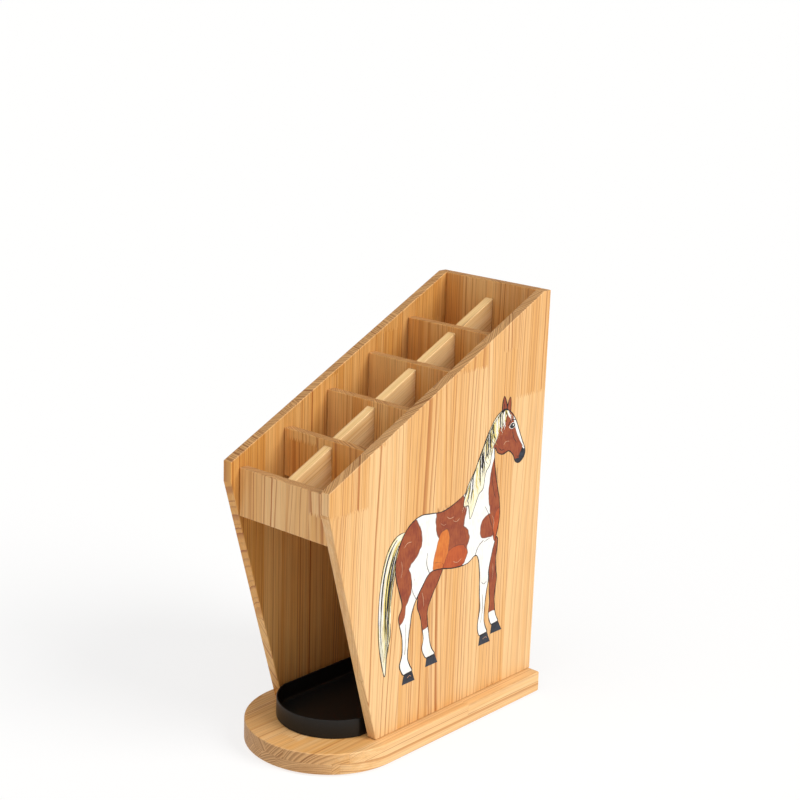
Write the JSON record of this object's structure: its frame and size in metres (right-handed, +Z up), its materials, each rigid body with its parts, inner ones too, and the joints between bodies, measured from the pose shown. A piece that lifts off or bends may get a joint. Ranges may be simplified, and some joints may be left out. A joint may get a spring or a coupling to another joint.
{
  "type": "umbrella stand",
  "caption": "Wooden umbrella stand: sloping open-fronted housing with an egg-crate of square compartments on a thick round-nosed base, with a removable drip tray.",
  "frame": {"origin": "on the floor, under the middle of the base board's bounding rectangle", "axes": "+X to the right as seen from the low open front, -Y towards the front (the base's round nose), +Z up"},
  "size_m": [0.214, 0.413, 0.5615],
  "materials": {
    "pine": "clear satin lacquer",
    "pale_pine": "clear satin lacquer",
    "dowel_beech": "bare",
    "black_plastic": "satin",
    "zinc_steel": "zinc plated",
    "rubber": "matte"
  },
  "bodies": {
    "stand": {"back_panel": "pine", "base_lower": "pine", "base_upper": "pine", "centre_divider": "pale_pine", "cross_divider_1": "pine", "cross_divider_2": "pine", "cross_divider_3": "pine", "cross_divider_4": "pine", "dowel_back_panel_left_1": "dowel_beech", "dowel_back_panel_left_2": "dowel_beech", "dowel_back_panel_left_3": "dowel_beech", "dowel_back_panel_right_1": "dowel_beech", "dowel_back_panel_right_2": "dowel_beech", "dowel_back_panel_right_3": "dowel_beech", "dowel_centre_divider_back": "dowel_beech", "dowel_centre_divider_front": "dowel_beech", "dowel_cross_divider_1_left_1": "dowel_beech", "dowel_cross_divider_1_left_2": "dowel_beech", "dowel_cross_divider_1_right_1": "dowel_beech", "dowel_cross_divider_1_right_2": "dowel_beech", "dowel_cross_divider_2_left_1": "dowel_beech", "dowel_cross_divider_2_left_2": "dowel_beech", "dowel_cross_divider_2_right_1": "dowel_beech", "dowel_cross_divider_2_right_2": "dowel_beech", "dowel_cross_divider_3_left_1": "dowel_beech", "dowel_cross_divider_3_left_2": "dowel_beech", "dowel_cross_divider_3_right_1": "dowel_beech", "dowel_cross_divider_3_right_2": "dowel_beech", "dowel_cross_divider_4_left_1": "dowel_beech", "dowel_cross_divider_4_left_2": "dowel_beech", "dowel_cross_divider_4_right_1": "dowel_beech", "dowel_cross_divider_4_right_2": "dowel_beech", "dowel_front_rail_left_1": "dowel_beech", "dowel_front_rail_left_2": "dowel_beech", "dowel_front_rail_right_1": "dowel_beech", "dowel_front_rail_right_2": "dowel_beech", "foot_back_left": "rubber", "foot_back_right": "rubber", "foot_front": "rubber", "foot_middle_left": "rubber", "foot_middle_right": "rubber", "front_rail": "pine", "screw_back_left": "zinc_steel", "screw_back_right": "zinc_steel", "screw_left_1": "zinc_steel", "screw_left_2": "zinc_steel", "screw_left_3": "zinc_steel", "screw_right_1": "zinc_steel", "screw_right_2": "zinc_steel", "screw_right_3": "zinc_steel", "side_panel_left": "pine", "side_panel_right": "pine"},
    "tray": {"drip_tray": "black_plastic"}
  },
  "joints": [
    {"name": "tray_slide", "type": "slide", "parent": "stand", "child": "tray", "axis": [0, -1, 0], "range_m": [0, 0.4]}
  ]
}
